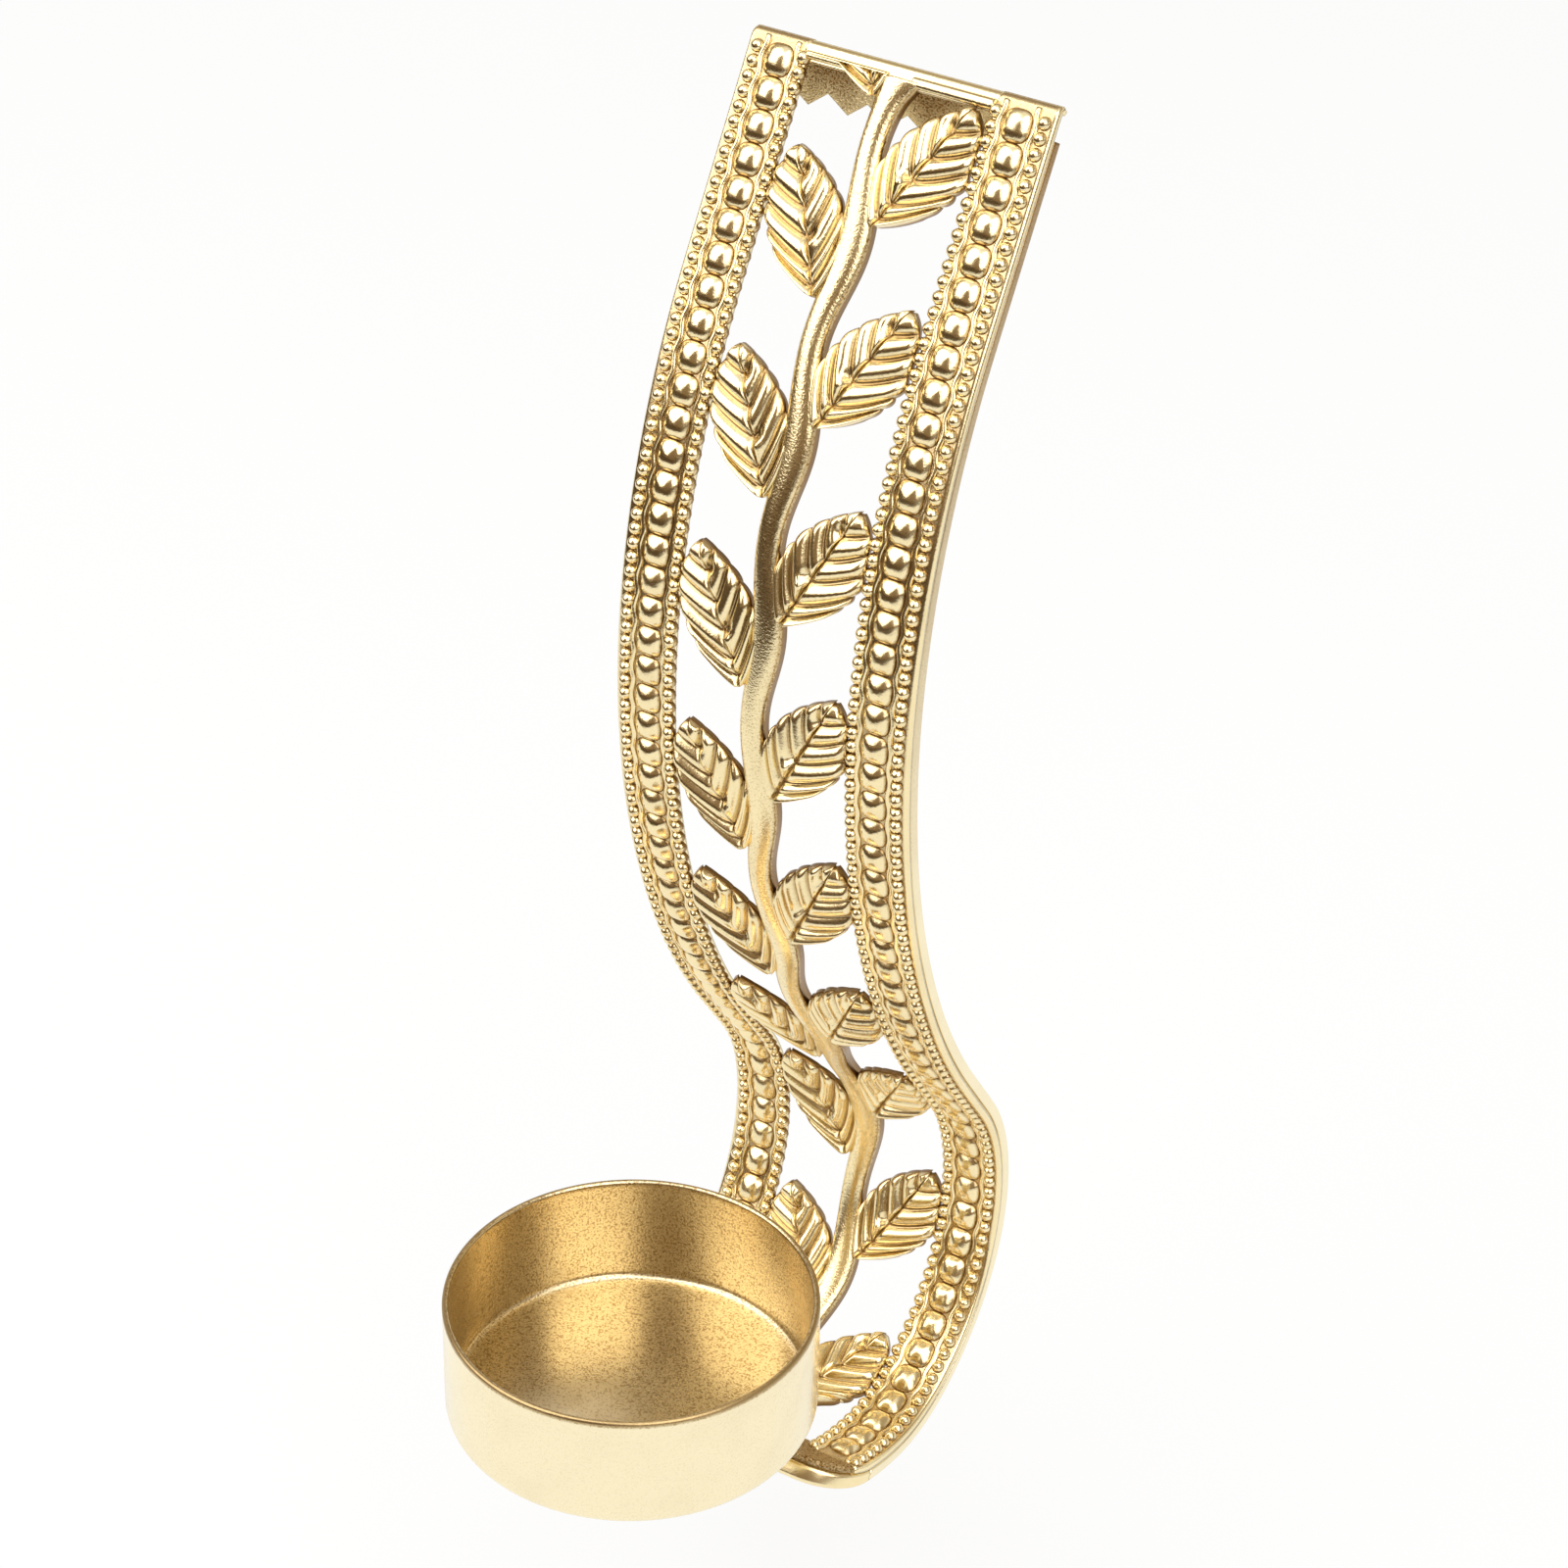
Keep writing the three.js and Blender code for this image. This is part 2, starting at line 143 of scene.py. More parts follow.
# The vine: a wavy half-round stem with leaves to the right and left in turn.
BEADS_PER_LEAF = 6
STEM_WIDTH = 3.5
STEM_SWELL = 0.4
STEM_HEIGHT = 1.3
STEM_WAVE = 0.62
STEM_OFFSET = -0.18
STEM_PHASE = 0.87
STEM_FLARE = 0.9
STEM_FULLNESS = 0.75
STEM_WALL_SHARE = 0.45
RIGHT_PHASE = 0.756
LEFT_PHASE = 1.16
RIGHT_LEAF = (2.3, 10.1, 15.6)
LEFT_LEAF = (2.2, 9.45, 16.1)
LEAF_OUTER = 5.3
LEAF_INNER = 4.7
OUTER_GROWTH = (0.9, 0.72)
INNER_GROWTH = (0.75, 0.95)
LEAF_LAP = 0.25
LEAF_BACK = 0.4
LEAF_HOLLOW_SHARE = 0.8
LEAF_EDGE = 0.2
LEAF_CUT = 0.9
VEIN_SWEEP_RATIO = 0.33
BASE_SWEEP_RATIO = 0.25
VEIN_GATHER = 2
VEIN_CURVE = 1.25
LOBE_ENDS = (-0.08, 0.075, 0.19, 0.39, 0.58, 0.79, 0.985)
LOBE_HEIGHT = 0.9
LOBE_FULLNESS = 0.85
LEAF_CROWN = 0.4
LOBE_ROOT_ROUND = 0.1
LOBE_TIP_ROUND = 0.12
NOTCH_SHARE = 0.07

# Marks on each leaf: how far along and beside the midrib, how wide, and how high or deep.
LEAF_MARKS = (
    (6.9, -0.75, 0.55, -0.6),
    (5.9, -0.7, 0.55, 0.4),
    (14.1, -0.35, 0.8, -0.5),
    (14.3, 0.15, 0.35, 0.4),
)

# The candle cup.
CUP_DIAMETER = 45
CUP_HEIGHT = 16
CUP_WALL = 0.8
CUP_FLOOR = 1
CUP_CORNER = 1.8

# How much painted shade darkens each place towards the deep gold, from 0 for bright gold to 1 for the
# deepest.
CREASE_SHARE = 0.4
CHANNEL_SHADE = 0.45
GROOVE_SHARPNESS = 3
FLAP_SHADE = 0.65
BAND_SHADE = 0.95
BAND_FADE = 100
CUP_INSIDE_SHADE = 0.42
CUP_RIM_SHADE = 1
PAINTED_SHADE_STRENGTH = 0.95

# How finely the meshes are cut.
PLATE_STEP = 0.4
PLATE_COLUMNS = 28
RIDGE_STEP = 0.3
WIRE_SIDES = 10
CROSS_STEPS = 61
FOLD_STEPS = 24
FLAP_COLUMNS = 181
NECK_STEPS = 90
RIM_STEPS = 24
BEAD_SIDES = 28
BEAD_LEVELS = 9
FINE_SIDES = 12
FINE_LEVELS = 5
STEM_STEP = 0.4
STEM_COLUMNS = 33
ROWS_PER_LOBE = 12
LEAF_COLUMNS = 16
CUP_SIDES = 256
CUP_SPOKES = 24
ARC_STEPS = 8

# The camera, at the photograph's angle, aimed at a point of the part.
CAMERA_AZIMUTH = 31.41
CAMERA_ELEVATION = 33.61
CAMERA_ROLL = 1.04
CAMERA_DISTANCE = 535.62
CAMERA_AIM = (-6.42, -14.12, -85.89)
CAMERA_LENS = 102.04
CAMERA_SENSOR = 36
CAMERA_CLIP = 0.01

HALF = STRIP_WIDTH / 2
LEAF_PITCH = BEADS_PER_LEAF * BEAD_PITCH
FINE_PITCH = LEAF_PITCH / FINE_PER_LEAF
BAND_BACK = SHEET + SOLDER_GAP + BAND_DEPTH


def bend(radius, degrees):
    turn = math.radians(degrees)
    return radius * abs(turn), turn


def run_to_wall():
    """The straight run below the belly, as long as it takes for the bulge to touch the wall again."""
    lean, bulge_lean = math.radians(TOP_LEAN), math.radians(BULGE_LEAN)
    fold = FOLD_RADIUS * (1 + math.cos(lean))
    top = TOP_LENGTH * math.sin(lean)
    belly = BELLY_RADIUS * (math.cos(lean) - math.cos(bulge_lean))
    bulge = BULGE_RADIUS * (1 - math.cos(bulge_lean))
    return (fold + top - belly - bulge - BAND_BACK - WALL_GAP) / math.sin(bulge_lean)


curl_heading = BULGE_LEAN - BULGE_TURN - HEEL_TURN - RISE_TURN - CURL_TURN
STRETCHES = (
    (FLAP_LENGTH, 0),
    bend(FOLD_RADIUS, 180 - TOP_LEAN),
    (TOP_LENGTH, 0),
    bend(BELLY_RADIUS, TOP_LEAN + BULGE_LEAN),
    (run_to_wall(), 0),
    bend(BULGE_RADIUS, -BULGE_TURN),
    bend(HEEL_RADIUS, -HEEL_TURN),
    bend(RISE_RADIUS, -RISE_TURN),
    bend(CURL_RADIUS, -CURL_TURN),
    (CURL_END, 0),
    bend(NECK_RADIUS, -90 - curl_heading),
    (FOOT_LENGTH, 0),
)


def moved(distance, heading, turn):
    """How far along y and z an arc carries a point. A heading of 0 points down and -90 forward."""
    chord = distance * np.sinc(turn / (2 * np.pi))
    return chord * np.sin(heading + turn / 2), -chord * np.cos(heading + turn / 2)


# Distances along the sheet are counted from the top of the pattern, a little way up the fold.
lengths, turns = np.array(STRETCHES, float).T
starts = np.cumsum(lengths) - lengths - lengths[0] - lengths[1] + FOLD_LAP
headings = np.cumsum(turns) - turns - np.pi
steps_y, steps_z = moved(lengths, headings, turns)
corners_y = np.cumsum(steps_y) - steps_y
corners_z = np.cumsum(steps_z) - steps_z - FLAP_LENGTH / 2
FLAP_START = starts[0]
FOLD_START = starts[1]
PATTERN_END = FIRST_BEAD + BEAD_COUNT * BEAD_PITCH
TONGUE_END = PATTERN_END + TONGUE_LENGTH
FOOT_END = starts[-1] + lengths[-1]


def on_sheet(x, run, height):
    """Points of the flat pattern, raised off the front face and bent to the profile, in metres."""
    x, run, height = np.broadcast_arrays(x, run, height)
    part = np.clip(np.searchsorted(starts, run, side="right") - 1, 0, len(starts) - 1)
    distance = run - starts[part]
    turn = turns[part] * distance / lengths[part]
    dy, dz = moved(distance, headings[part], turn)
    heading = headings[part] + turn
    y = corners_y[part] + dy - height * np.cos(heading)
    z = corners_z[part] + dz - height * np.sin(heading)
    return np.stack([x, y, z], axis=-1) * MM


def tube(rings, painted_shade=0.0):
    """A closed body through rings of equal, even size, laced shut at each end: vertices, faces and painted
    shade.
    """
    count, size = rings.shape[:2]
    index = np.arange(count * size).reshape(count, size)
    beside = np.roll(index, -1, axis=1)
    walls = np.stack([index[:-1], beside[:-1], beside[1:], index[1:]], axis=-1).reshape(-1, 4)
    near = np.arange(size // 2 - 1)
    lace = np.stack([near, size - 1 - near, size - 2 - near, near + 1], axis=-1)
    faces = np.concatenate([walls, index[0][lace], index[-1][lace[:, ::-1]]])
    vertices = rings.reshape(-1, 3)
    triangles = np.concatenate([faces[:, :3], faces[:, [0, 2, 3]]])
    a, b, c = (vertices[triangles[:, i]] for i in range(3))
    inside_out = np.sum(a * np.cross(b, c)) < 0
    if inside_out:
        faces = faces[:, ::-1]
    return vertices, faces.tolist(), np.broadcast_to(painted_shade, (count, size)).ravel()


def sheet_body(x, run, front, back, painted_shade=0.0):
    """A bent piece of sheet between its front and back heights, given on one grid."""
    x, run, front, back, painted_shade = np.broadcast_arrays(x, run, front, back, painted_shade)
    faces = [on_sheet(x, run, front), on_sheet(x, run, back)[:, ::-1]]
    return tube(np.concatenate(faces, axis=1), np.concatenate([painted_shade, painted_shade[:, ::-1]], axis=1))


def add_piece(name, node, bodies, material):
    """One smooth object made of closed bodies, carried on the rigid part in place of a node."""
    vertices, faces, painted_shades = [], [], []
    offset = 0
    for points, polygons, depth in bodies:
        vertices.append(points)
        painted_shades.append(depth)
        faces += [[offset + corner for corner in polygon] for polygon in polygons]
        offset += len(points)
    mesh = bpy.data.meshes.new(name)
    mesh.from_pydata(np.concatenate(vertices).tolist(), [], faces)
    mesh.attributes.new("painted_shade", "FLOAT", "POINT").data.foreach_set("value", np.concatenate(painted_shades))
    mesh.shade_smooth()
    mesh.materials.append(material)
    piece = bpy.data.objects.new(name, mesh)
    bpy.context.scene.collection.objects.link(piece)
    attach(piece, "root")
    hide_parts(node)


def boss(x, run, half_width, half_length, height, slope, squareness, sides, levels):
    """A domed bead on the front face, its rim a circle or a rounder square, sunk into the sheet."""
    angle = np.linspace(0, 2 * np.pi, sides, endpoint=False)
    cosine, sine = np.cos(angle), np.sin(angle)
    rim = (np.abs(cosine) ** squareness + np.abs(sine) ** squareness) ** (-1 / squareness)
    tilt = np.radians(np.linspace(slope, BEAD_TOP, levels))
    size = np.insert(np.sin(tilt) / np.sin(tilt[0]), 0, 1)[:, None]
    rise = (np.cos(tilt) - np.cos(tilt[0])) / (1 - np.cos(tilt[0]))
    up = np.insert(height * rise, 0, -BEAD_SUNK)[:, None]
    places = on_sheet(x + size * half_width * rim * cosine, run + size * half_length * rim * sine, up)
    # Painted shade at the foot of each bead, fading out a share of the way up its height.
    crease = np.clip(1 - up / (CREASE_SHARE * height), 0, 1)
    return tube(places, np.broadcast_to(crease, places.shape[:2]))


def wire(run, middle, radius):
    """A fine round ridge laid along the sheet."""
    angle = np.linspace(0, 2 * np.pi, WIRE_SIDES, endpoint=False)
    return tube(on_sheet(middle + radius * np.cos(angle), run, radius * np.sin(angle)))


def cross_bar(first_x, last_x, run, radius):
    """A round bar laid across the sheet."""
    x = np.linspace(first_x, last_x, CROSS_STEPS)[:, None]
    angle = np.linspace(0, 2 * np.pi, WIRE_SIDES, endpoint=False)
    return tube(on_sheet(x, run + radius * np.cos(angle), radius * np.sin(angle)))


def row_offset(run, first, pitch):
    """How far a place is from the middle of the nearest boss in a row."""
    return (run - first + pitch / 2) % pitch - pitch / 2


def edge_drop(inset):
    """How far the face falls away near a rounded edge."""
    short = np.clip(1 - inset / EDGE_ROUND, 0, 1)
    return EDGE_ROUND * (1 - np.sqrt(1 - short**2))


def hollows(out, run):
    """The dimples in the back of a border, one behind each large bead."""
    along = row_offset(run, FIRST_BEAD, BEAD_PITCH)
    rim = ((out - BEAD_ROW) / (BEAD_WIDTH / 2)) ** 2 + (along / (BEAD_LENGTH / 2)) ** 2
    return HOLLOW_DEPTH * np.sqrt(np.clip(1 - rim, 0, None))


def tab_half(run, half, end, corner):
    """Half the width of a tab with round corners at its lower end."""
    past = np.clip(run - (end - corner), 0, corner)
    return half - corner + np.sqrt(corner**2 - past**2)


def border_plate(side):
    run = np.linspace(PLATE_TOP, PATTERN_END, round(PATTERN_END / PLATE_STEP))[:, None]
    half = tab_half(run, HALF, TONGUE_END, TONGUE_CORNER)
    out = BORDER_INNER + (half - BORDER_INNER) * np.linspace(0, 1, PLATE_COLUMNS)
    inset = np.minimum(out - BORDER_INNER, half - out)
    # Painted shade over the plate's flats between the beads and ridges, kept off the rounded edges.
    shade = CHANNEL_SHADE * np.clip(inset / EDGE_ROUND - 1, 0, 1)
    return sheet_body(side * out, run, -edge_drop(inset), hollows(out, run) - SHEET, shade)


def border(side, material):
    """A plate with a row of large beads between two wavy ridges, and a row of fine beads on either side."""
    bodies = [border_plate(side)]
    run = np.arange(0, PATTERN_END, RIDGE_STEP)[:, None]
    wave = RIDGE_WAVE * np.cos(2 * np.pi * (run - FIRST_BEAD) / BEAD_PITCH)
    for way in (-1, 1):
        bodies.append(wire(run, side * (BEAD_ROW + way * (RIDGE_OFFSET + wave)), RIDGE_RADIUS))
    half_width, half_length = BEAD_WIDTH / 2, BEAD_LENGTH / 2
    for at in FIRST_BEAD + BEAD_PITCH * np.arange(BEAD_COUNT):
        bodies.append(boss(side * BEAD_ROW, at, half_width, half_length, BEAD_HEIGHT, BEAD_SLOPE,
                           BEAD_SQUARENESS, BEAD_SIDES, BEAD_LEVELS))
    radius = FINE_BEAD / 2
    for row in FINE_ROWS:
        for at in np.arange(FIRST_FINE_BEAD, PATTERN_END - radius, FINE_PITCH):
            bodies.append(boss(side * row, at, radius, radius, radius, FINE_SLOPE,
                               FINE_SQUARENESS, FINE_SIDES, FINE_LEVELS))
    name = "right_border" if side > 0 else "left_border"
    add_piece(name, "pierced_strip", bodies, material)


def stem(material):
    first, last = BAR_DEPTH / 2, PATTERN_END - BAR_DEPTH / 2
    run = np.linspace(first, last, round((last - first) / STEM_STEP))[:, None]
    swing = np.cos(2 * np.pi * (run / LEAF_PITCH - STEM_PHASE))
    middle = STEM_OFFSET + STEM_WAVE * swing
    flare = STEM_FLARE * np.exp(-(((run - first) / BAR_DEPTH) ** 2))
    half = (STEM_WIDTH + STEM_SWELL * swing) / 2 + flare
    angle = np.linspace(0, np.pi, STEM_COLUMNS)
    bulge = np.sin(angle) ** STEM_FULLNESS
    hollow = STEM_HEIGHT * np.clip(bulge - STEM_WALL_SHARE, 0, None)
    across = middle - half * np.cos(angle)
    # Painted shade along the stem's sides, darkest where they meet the sheet.
    body = sheet_body(across, run, STEM_HEIGHT * bulge, hollow - SHEET, (1 - bulge) ** 2)
    add_piece("vine_stem", "pierced_strip", [body], material)


def fullness(share, growth):
    """How wide a leaf is at a share of its length, as a share of its greatest width."""
    base, tip = growth
    widest = base / (base + tip)
    return (share / widest) ** base * ((1 - share) / (1 - widest)) ** tip


def leaf_rows():
    """The rows of a leaf run along its veins. Each gives where its vein starts and its place in a lobe."""
    place = np.linspace(0, 1, ROWS_PER_LOBE, endpoint=False)
    lobes = zip(LOBE_ENDS[:-1], LOBE_ENDS[1:])
    vein = np.concatenate([low + (high - low) * place for low, high in lobes])
    places = np.tile(place, len(LOBE_ENDS) - 1)
    return np.append(vein, LOBE_ENDS[-1])[:, None], np.append(places, 1)[:, None]


def leaf(side, shape, root_run):
    """One leaf with its root beside the stem, reaching up and out to the border."""
    root, tip, rise = shape
    length = math.hypot(tip - root, rise)
    rib_x, rib_run = (tip - root) / length, -rise / length
    vein, place = leaf_rows()
    spread = (1 - np.cos(np.linspace(0, np.pi, LEAF_COLUMNS + 1))) / 2
    u = np.concatenate([-spread[:0:-1], spread])
    out = np.abs(u)
    lobe_round = (1 - (2 * place - 1) ** 2) ** LOBE_FULLNESS

    def half_width(share):
        """The leaf's half width on either side, which the border cuts short on the outer one."""
        border = (BORDER_EDGE + LEAF_LAP - root - rib_x * length * share) / -rib_run
        outer = np.minimum(LEAF_OUTER * fullness(share, OUTER_GROWTH), border)
        return np.where(u < 0, LEAF_INNER * fullness(share, INNER_GROWTH), outer)

    start = np.clip(vein, 0, None)
    end = start + VEIN_SWEEP_RATIO * (1 - start**VEIN_GATHER)
    share = start + (end - start) * out**VEIN_CURVE
    notched = 1 - NOTCH_SHARE * (1 - lobe_round) * out**2
    across = out * half_width(end) * notched
    grown = np.clip(1 - vein / LOBE_ENDS[0], 0, 1)
    base_share = BASE_SWEEP_RATIO * out
    share = np.where(vein < 0, base_share + (share - base_share) * grown, share)
    base_across = half_width(base_share)
    across = np.where(vein < 0, base_across + (across - base_across) * grown, across)
    along, aside = length * share, np.sign(u) * across

    root_end = np.sqrt(np.clip(out / LOBE_ROOT_ROUND, 0, 1))
    tip_end = np.sqrt(np.clip((1 - out) / LOBE_TIP_ROUND, 0, 1))
    lobe = lobe_round * root_end * tip_end
    relief = LEAF_CROWN * (1 - out**2) * grown + LOBE_HEIGHT * lobe

    for at, beside, radius, height in LEAF_MARKS:
        relief = relief + height * np.exp(-(((along - at) ** 2 + (aside - beside) ** 2) / radius**2))
    x = side * (root + rib_x * along - rib_run * aside)
    run = np.maximum(root_run + rib_run * along + rib_x * aside, LEAF_CUT)
    back = LEAF_HOLLOW_SHARE * relief - LEAF_BACK
    # Painted shade in the grooves between the lobes, kept off the lobes' crowns.
    return sheet_body(x, run, LEAF_EDGE + relief, back, (1 - lobe) ** GROOVE_SHARPNESS)


def leaves(side, shape, first_run, name, material):
    roots = np.arange(first_run, TONGUE_END, LEAF_PITCH)
    bodies = [leaf(side, shape, run) for run in roots]
    add_piece(name, "pierced_strip", bodies, material)


def zigzag(x):
    """Where the flap ends under each place across it."""
    tooth = np.abs(row_offset(x, TOOTH_PITCH / 2, TOOTH_PITCH)) / (TOOTH_PITCH / 2)
    whole = np.floor(FLAP_WIDTH / 2 / TOOTH_PITCH) * TOOTH_PITCH
    return FLAP_START + TOOTH_DEPTH * np.where(np.abs(x) < whole, tooth, 1)


def top_fold(material):
    """The bars across the top and the tight fold behind them, turning back towards the wall."""
    x = np.linspace(-FLAP_WIDTH / 2, FLAP_WIDTH / 2, CROSS_STEPS)
    run = np.linspace(FOLD_START, BAR_DEPTH, FOLD_STEPS)[:, None]
    bodies = [
        sheet_body(x, run, -TRIM, TRIM - SHEET),
        cross_bar(STEM_WIDTH / 2, BORDER_INNER, BAR_RUN, RIGHT_BAR_RADIUS),
        cross_bar(-BORDER_INNER, -STEM_WIDTH / 2, BAR_RUN, LEFT_BAR_RADIUS),
    ]
    add_piece("top_fold", "pierced_strip", bodies, material)


def wall_flap(material):
    """The dull flap that lies on the wall, with the zigzag lower edge that hangs on a nail."""
    x = np.linspace(-FLAP_WIDTH / 2, FLAP_WIDTH / 2, FLAP_COLUMNS)
    low = zigzag(x)
    rise = np.linspace(0, 1, FOLD_STEPS)[:, None]
    run = low + (FOLD_START + TRIM - low) * rise
    wave = np.sin(2 * np.pi * x / FLAP_WAVE_LENGTH)
    swell = wave * np.sin(2 * np.pi * (run - FLAP_START) / FLAP_LENGTH)
    front = -TRIM - FLAP_WAVE * (1 + swell)
    # Painted shade, darkest up in the fold and in waves across it, fading towards the teeth.
    shade = FLAP_SHADE * np.clip(rise * (1 + wave), 0, 1)
    body = sheet_body(x, run, front, TRIM - SHEET, shade)
    add_piece("wall_flap", "pierced_strip", [body], material)


def hook_foot(material):
    """The end of the hook: the plain neck and the round-cornered foot under the cup."""
    run = np.linspace(PATTERN_END - BAR_DEPTH, FOOT_END, NECK_STEPS)[:, None]
    half = tab_half(run, FOOT_WIDTH / 2, FOOT_END, FOOT_LENGTH / 2)
    body = sheet_body(half * np.linspace(-1, 1, CROSS_STEPS), run, -TRIM, TRIM - SHEET)
    add_piece("hook_foot", "pierced_strip", [body], material)


def tongue_plate(material):
    """The plain grainy end of the pattern in the hook."""
    run = np.linspace(PATTERN_END - BAR_DEPTH, TONGUE_END - TRIM, NECK_STEPS)[:, None]
    across = np.linspace(-1, 1, CROSS_STEPS)
    half = tab_half(run, HALF - TRIM, TONGUE_END - TRIM / 2, TONGUE_CORNER)
    inset = np.minimum(half * (1 - np.abs(across)), TONGUE_END - TRIM - run)
    # Painted shade laid evenly over the tongue plate, as deep as the flap's.
    body = sheet_body(half * across, run, -edge_drop(inset), TRIM - SHEET, FLAP_SHADE)
    add_piece("tongue_plate", "pierced_strip", [body], material)


def tongue_rim(material):
    """The smooth rim round the end of the tongue, which carries on from the edge bands."""
    corner = TONGUE_CORNER
    low = TONGUE_END - corner
    turn = np.radians(np.linspace(0, 90, RIM_STEPS))
    middle = np.linspace(HALF - corner, corner - HALF, CROSS_STEPS)[1:-1]
    x = np.concatenate([[HALF], HALF - corner + corner * np.cos(turn), middle])
    x = np.concatenate([x, corner - HALF - corner * np.sin(turn), [-HALF]])
    run = np.concatenate([[low], low + corner * np.sin(turn), np.full_like(middle, TONGUE_END)])
    run = np.concatenate([run, low + corner * np.cos(turn), [low]])
    out_x = np.concatenate([[1], np.cos(turn), np.zeros_like(middle), -np.sin(turn), [-1]])
    out_run = np.concatenate([[0], np.sin(turn), np.ones_like(middle), np.cos(turn), [0]])
    grown = out_run[:, None]
    ends = band_section(-SHEET - SOLDER_GAP, TRIM - BAND_BACK, BAND_FILLET)
    full = band_section(-SHEET, TRIM - TONGUE_RIM, RIM_FILLET)
    inward = HALF - ends[:, 0] + (ends[:, 0] - full[:, 0]) * grown
    height = ends[:, 1] + (full[:, 1] - ends[:, 1]) * grown
    places = on_sheet(x[:, None] - out_x[:, None] * inward, run[:, None] - grown * inward, height)
    add_piece("tongue_rim", "pierced_strip", [tube(places)], material)


def arc(centre_x, centre_y, radius, first, last):
    """Points of an arc between two angles in degrees."""
    angle = np.radians(np.linspace(first, last, ARC_STEPS))
    return np.stack([centre_x + radius * np.cos(angle), centre_y + radius * np.sin(angle)], axis=1)


def band_section(front, back, fillet):
    """A band in section, as places across the strip and heights, rounded on the outside."""
    low_x, high_x = HALF - BAND_THICKNESS + BAND_FILLET, HALF - fillet
    return np.concatenate([
        arc(high_x, front - fillet, fillet, 0, 90),
        arc(low_x, front - BAND_FILLET, BAND_FILLET, 90, 180),
        arc(low_x, back + BAND_FILLET, BAND_FILLET, 180, 270),
        arc(high_x, back + fillet, fillet, 270, 360),
    ])


def edge_band(side, material):
    section = band_section(-SHEET - SOLDER_GAP, TRIM - BAND_BACK, BAND_FILLET)
    last = TONGUE_END - TONGUE_CORNER - SOLDER_GAP
    run = np.linspace(BAND_TOP, last, round(last / PLATE_STEP))[:, None]
    # Painted shade, darkest at the top of each band and fading down it.
    shade = BAND_SHADE * np.clip(1 - run / BAND_FADE, 0, 1)
    body = tube(on_sheet(side * section[:, 0], run, section[:, 1]), shade)
    name = "right" if side > 0 else "left"
    add_piece(f"{name}_band", f"{name}_edge_band", [body], material)


def candle_cup(material):
    """The cup, turned about its own axis on the foot, duller inside than outside: rougher there and darkened
    with painted shade, with a painted dark line along the lip.
    """
    outer = CUP_DIAMETER / 2
    inner = outer - CUP_WALL
    fillet = CUP_CORNER - CUP_WALL
    rim = CUP_WALL / 2
    flat = np.linspace(0, outer - CUP_CORNER, CUP_SPOKES, endpoint=False)[1:]
    outside = [
        np.stack([flat, np.zeros_like(flat)], axis=1),
        arc(outer - CUP_CORNER, CUP_CORNER, CUP_CORNER, -90, 0),
        [[outer, CUP_HEIGHT - CUP_WALL]],
    ]
    lip = [arc(outer - rim, CUP_HEIGHT - rim, rim, 0, 180)]
    inside = [
        [[inner, CUP_HEIGHT - CUP_WALL]],
        arc(inner - fillet, CUP_FLOOR + fillet, fillet, 0, -90),
        np.stack([flat[::-1], np.full_like(flat, CUP_FLOOR)], axis=1),
    ]
    profile = np.concatenate(outside + lip + inside)
    counts = [sum(map(len, side)) for side in (outside, lip, inside)]
    # Painted shade inside the cup and a painted dark line on the lip's outer half; the outside is left
    # bright.
    shade = np.repeat([0, CUP_RIM_SHADE, CUP_INSIDE_SHADE], counts)
    shade = np.where(profile[:, 0] > outer - rim, shade, np.minimum(shade, CUP_INSIDE_SHADE))
    low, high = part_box("candle_cup")
    around = np.linspace(0, 2 * np.pi, CUP_SIDES, endpoint=False)
    radius, height = profile[:, :1] * MM, profile[:, 1:] * MM
    x = (low.x + high.x) / 2 + radius * np.cos(around)
    y = (low.y + high.y) / 2 + radius * np.sin(around)
    z = np.broadcast_to(low.z + height, x.shape)
    body = tube(np.stack([x, y, z], axis=-1), shade[:, None])
    add_piece("cup", "candle_cup", [body], material)


